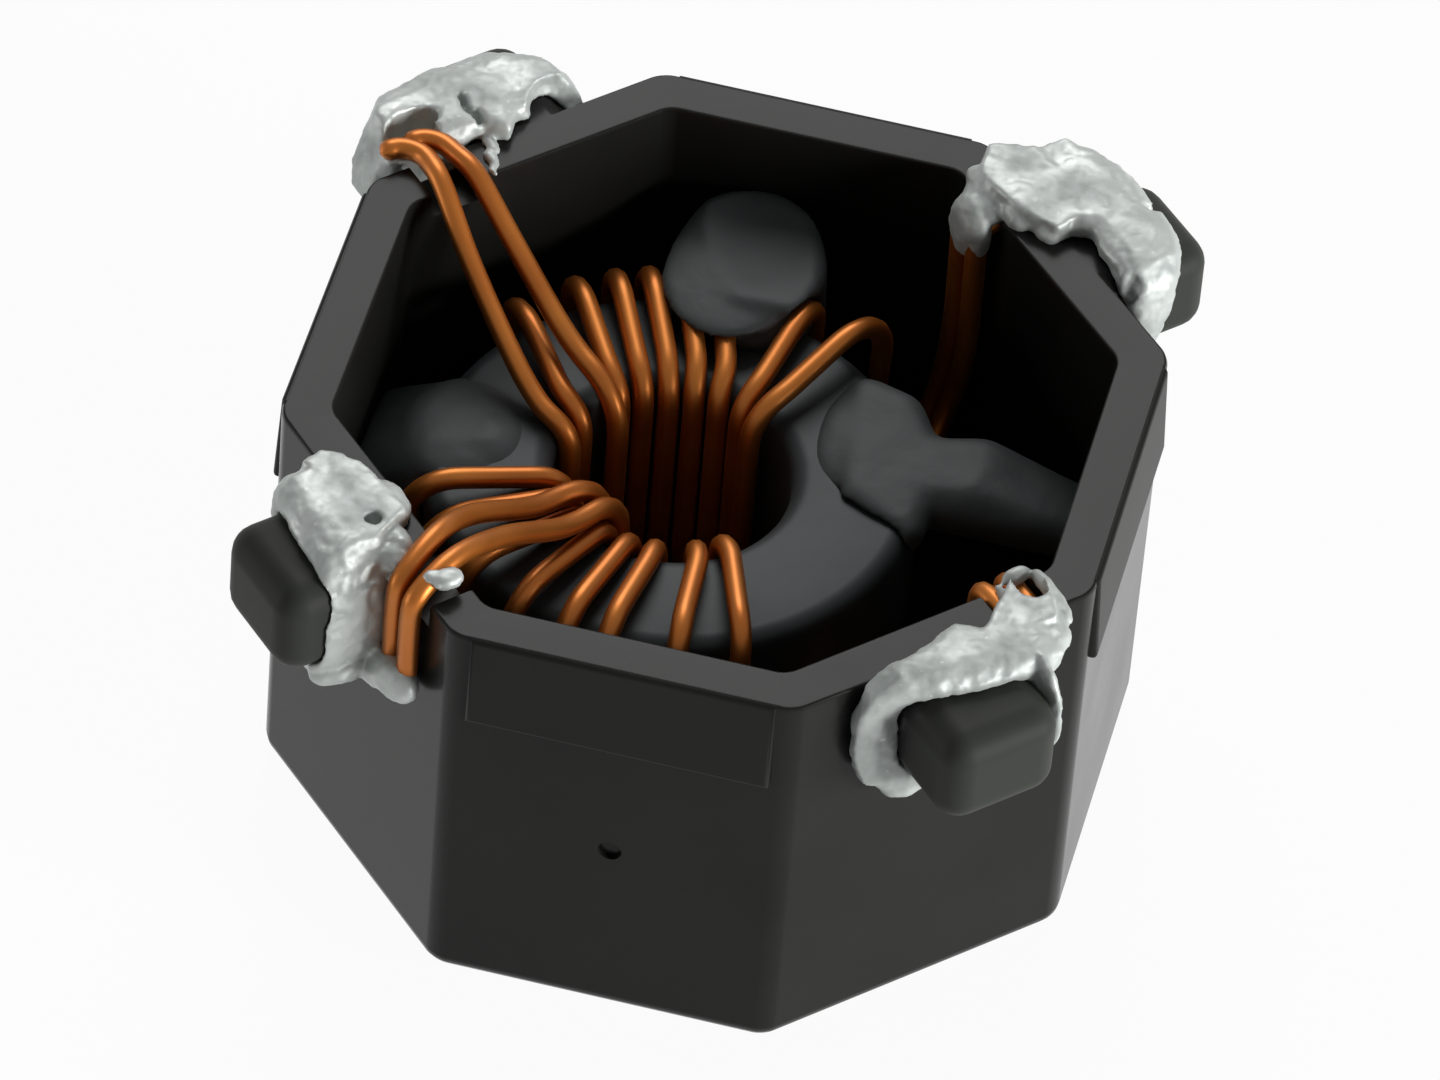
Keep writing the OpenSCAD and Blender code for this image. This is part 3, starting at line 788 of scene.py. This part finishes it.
TURNS_A1 = ((154, hole_a(0), 0, 0, 0), (140, hole_a(1), 0, 0, 1), (117, hole_a(4), 0, 0, 0),
            (103, hole_a(6), 0, 0, 0), (72, hole_a(8), 0, 0, 0))
TURNS_A2 = ((143, hole_a(2.2), 0, 1, 0), (126, hole_a(3), 0, 0, 0), (110, hole_a(5), 0, 0, 0),
            (95, hole_a(7), 0, 0, 0), (58, hole_a(9), 1, 0.4, 0))
TURNS_B1 = ((-124, hole_b(1), 0, 1, 1), (-153, hole_b(-0.5), 0, 0, 0), (-127, hole_b(1.5), 0, 0, 0),
            (-100, hole_b(3.5), 0, 0, 0), (-76, hole_b(6), 0, 0, 0))
TURNS_B2 = ((-115, hole_b(2.25), 0, 1, 1), (-141, hole_b(0.5), 0, 0, 0), (-112, hole_b(2.5), 0, 0, 0),
            (-91, hole_b(4.5), 0, 0, 0), (-62, hole_b(7), 0, 0, 0))
# Turns, then the lug and the side of its notch where a strand comes in and where it goes out, and the
# angle at which it leaves the ring
STRANDS = {
    "winding_a_wire_1": (TURNS_A1, 0, 1, 1, 1, 50),
    "winding_a_wire_2": (TURNS_A2, 0, -1, 1, -1, 42),
    "winding_b_wire_1": (TURNS_B1, 3, -1, 2, -1, -50),
    "winding_b_wire_2": (TURNS_B2, 3, 1, 2, 1, -40),
}

# %% [markdown]
# A strand is drawn as a line through the points of its route, with a round section. The section shrinks
# over the last half width at either end, so that a tip is round where it shows.

# %% Draw the strands
# How far round a tip goes, where 1 would close it to a point
TIP_SHARE = 0.97


def round_ends(points):
    legs = np.linalg.norm(np.diff(points, axis=0), axis=1)
    along = np.r_[0, np.cumsum(legs)]
    from_end = np.minimum(along, along[-1] - along)
    return np.sqrt(1 - np.clip(TIP_SHARE - from_end / (WIRE_D / 2), 0, 1) ** 2)


for node, route in STRANDS.items():
    points = eased(wire_path(*route))
    line = bpy.data.curves.new(node + "_line", "CURVE")
    line.dimensions = "3D"
    line.bevel_depth = WIRE_D / 2
    line.bevel_resolution = 3
    line.use_fill_caps = True
    row = line.splines.new("POLY")
    row.points.add(len(points) - 1)
    row.points.foreach_set("co", np.column_stack([points, np.ones(len(points))]).ravel())
    row.points.foreach_set("radius", round_ends(points))
    strand = bpy.data.objects.new(node + "_line", line)
    bpy.context.collection.objects.link(strand)
    make_active(strand)
    bpy.ops.object.convert(target="MESH")
    strand = bpy.context.object
    bpy.ops.object.shade_smooth()
    length = np.linalg.norm(np.diff(points, axis=0), axis=1).sum()
    print(node, "is", round(length, 1), "mm long")
    hand_over(strand, node.replace("winding", "strand").replace("_wire", ""), copper, "copper_wire", node)

# %% [markdown]
# ## Solder and adhesive
# Solder and adhesive both froze from a liquid, so they have no sharp edges. Each starts as a copy of its
# solid. Pits are cut out of it and round drops are added where the melt ran further. The lot is then
# fused by a voxel remesh, smoothed, and made uneven by one or two noises, each with a height and a size.

# %% From solid to frozen melt
def copy_of(node):
    piece = bpy.data.objects.new(node + "_copy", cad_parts[node].data.copy())
    bpy.context.collection.objects.link(piece)
    make_active(piece)
    piece.scale = (1 / MM, 1 / MM, 1 / MM)
    bpy.ops.object.transform_apply(location=True, rotation=True, scale=True)
    bpy.ops.object.mode_set(mode="EDIT")
    bpy.ops.mesh.select_all(action="SELECT")
    bpy.ops.mesh.remove_doubles(threshold=WELD)
    bpy.ops.mesh.normals_make_consistent(inside=False)
    bpy.ops.object.mode_set(mode="OBJECT")
    return piece


def drop(place, size, angle=0):
    clear_selection()
    bpy.ops.mesh.primitive_ico_sphere_add(subdivisions=3, radius=1)
    piece = bpy.context.object
    piece.scale = size
    piece.rotation_euler.z = math.radians(angle)
    piece.location = place
    bpy.ops.object.transform_apply(location=True, rotation=True, scale=True)
    return piece


def melt(piece, drops, pits, voxel, passes, lumps):
    combine(piece, pits, "DIFFERENCE")
    make_active(piece)
    for extra in drops:
        extra.select_set(True)
    bpy.ops.object.join()
    apply_modifier(piece, "REMESH", mode="VOXEL", voxel_size=voxel)
    apply_modifier(piece, "SMOOTH", factor=0.5, iterations=passes)
    for height, size in lumps:
        texture = bpy.data.textures.new("lumps", "CLOUDS")
        texture.noise_scale = size
        apply_modifier(piece, "DISPLACE", texture=texture, texture_coords="LOCAL",
                       strength=height, mid_level=0.5)
    make_active(piece)
    bpy.ops.object.shade_smooth()


# %% [markdown]
# Each terminal was dipped and dabbed by hand, so no two look alike. Their drops and pits are listed in
# the frame of their lug: how far out, how far along the wall, how far above the rim, and the half sizes
# in the same three directions.

# %% Drops of the terminals
DROPS = (
    # The first has a lump beside its leads and a thin drip that runs in over the rim
    ((4.64, 1.4, 0.0, 0.14, 0.2, 0.08),
     (4.3, 0.42, 0.02, 0.14, 0.07, 0.06), (4.1, 0.52, 0.01, 0.16, 0.055, 0.05),
     (3.94, 0.6, 0.01, 0.1, 0.05, 0.045)),
    # The second is ragged along the rim, runs down one side of its peg, and covers the notch and its leads
    ((4.02, 1.2, 0.06, 0.18, 0.34, 0.17), (4.1, 0.75, 0.05, 0.16, 0.3, 0.15),
     (4.26, 0.36, 0.05, 0.16, 0.22, 0.13),
     (5.0, -0.76, -0.5, 0.16, 0.08, 0.42),
     (3.74, 1.06, -0.28, 0.17, 0.32, 0.42), (3.9, 1.1, -0.02, 0.16, 0.32, 0.17)),
    # The third hooks round its notch, curls in under the peg and has a thin sheet down the peg's side
    ((4.3, 1.4, 0.08, 0.36, 0.09, 0.13), (4.58, 1.36, 0.05, 0.2, 0.1, 0.11),
     (4.72, 1.2, 0.04, 0.3, 0.12, 0.12), (3.9, 1.2, 0.05, 0.09, 0.18, 0.12),
     (4.08, 0.95, 0.04, 0.22, 0.06, 0.09),
     (4.68, -0.55, -1.45, 0.2, 0.28, 0.17),
     (5.1, 0.75, -0.45, 0.5, 0.12, 0.7)),
    # The fourth is ragged along the rim, runs down its peg to a foot below the leads, and left a drop there
    ((4.08, -0.1, 0.08, 0.14, 0.3, 0.15), (4.32, 0.45, 0.06, 0.14, 0.22, 0.13),
     (4.45, 0.6, 0.02, 0.16, 0.2, 0.14),
     (4.8, 0.75, -0.55, 0.3, 0.05, 0.5), (5.0, 0.62, -1.32, 0.42, 0.2, 0.16),
     (4.7, 0.8, -1.36, 0.2, 0.3, 0.18), (4.66, 1.06, -1.24, 0.2, 0.4, 0.26),
     (4.2, 1.26, 0.19, 0.2, 0.13, 0.1), (4.33, 1.17, 0.2, 0.12, 0.1, 0.08)),
)
print("drops:", [len(rows) for rows in DROPS])

# %% Pits of the terminals
PITS = (
    # The first leaves its leads bare in the notch, stops short of the rim's edge and has three small holes
    ((4.82, 1.12, 0.2, 0.17, 0.32, 0.4), (4.4, -0.55, 0.15, 0.38, 0.42, 0.3),
     (4.62, 1.3, 0.25, 0.24, 0.4, 0.25),
     (4.58, 0.44, 0.2, 0.1, 0.06, 0.12), (4.72, 0.5, 0.22, 0.1, 0.05, 0.12),
     (4.86, 0.47, 0.24, 0.1, 0.05, 0.12)),
    # The second has a nick at the tip of its peg and one by the wall
    ((5.42, 0.05, 0.2, 0.14, 0.08, 0.2), (4.58, -0.8, 0.08, 0.14, 0.12, 0.25)),
    # The third is open inside its hook
    ((4.16, 1.18, 0.15, 0.29, 0.18, 0.3),),
    # The fourth has one small hole
    ((4.47, 0.18, 0.25, 0.1, 0.09, 0.2),),
)
print("pits:", [len(rows) for rows in PITS])

# %% Solder terminals
SOLDER_VOXEL = 0.03
SOLDER_PASSES = 8
SOLDER_LUMPS = ((0.08, 0.5), (0.04, 0.15))


def lug_drops(k, rows):
    return [drop(lug_point(k, *row[:3]), row[3:], LUG_ANGLES[k]) for row in rows]


for k in range(len(LUG_ANGLES)):
    node = "terminal_%d" % (k + 1)
    drops = lug_drops(k, DROPS[k])
    pits = lug_drops(k, PITS[k])
    piece = copy_of(node)
    melt(piece, drops, pits, SOLDER_VOXEL, SOLDER_PASSES, SOLDER_LUMPS)
    hand_over(piece, "solder_%d" % (k + 1), solder, "solder", node)

# %% [markdown]
# The adhesive was dabbed between the ring and the walls after winding. The dab at the back ran over the
# wires there, so some of them are buried in it, and only their ends near the hole are bare. It kept a
# round outline, so all of it outside an upright ellipsoid is cut off first. The left one lies nearly
# level with the ring's top, and the right one is a strap over the gap with a thin patch on the ring.

# %% Adhesive dabs
DAB_VOXEL = 0.05
DAB_PASSES = 22
DAB_LUMPS = ((0.04, 0.8),)
# Middles and half sizes of the ellipsoids that are added, cut out, and kept
SPILLS = {
    "back": ((-0.55, 2.7, 4.1, 0.8, 1.0, 0.12), (-0.3, 2.45, 3.85, 0.75, 0.55, 0.25)),
    "left": ((-2.8, -0.05, 3.66, 0.72, 0.85, 0.18),),
    "right": ((1.3, 1.1, 3.7, 0.5, 0.9, 0.17),),
}
HOLLOWS = {
    "back": ((-0.4, 2.9, 6.2, 3.2, 3.2, 2),),
    "left": ((-3.0, 0, 4.8, 2, 2, 0.98),),
    "right": (),
}
OUTLINES = {"back": ((-0.45, 2.88, 3.2, 0.92, 1.1, 4),), "left": (), "right": ()}


def dab_drops(rows):
    return [drop(row[:3], row[3:]) for row in rows]


for side in SPILLS:
    node = "adhesive_" + side
    drops = dab_drops(SPILLS[side])
    pits = dab_drops(HOLLOWS[side])
    limits = dab_drops(OUTLINES[side])
    piece = copy_of(node)
    combine(piece, limits, "INTERSECT")
    melt(piece, drops, pits, DAB_VOXEL, DAB_PASSES, DAB_LUMPS)
    hand_over(piece, "dab_" + side, adhesive, "adhesive", node)
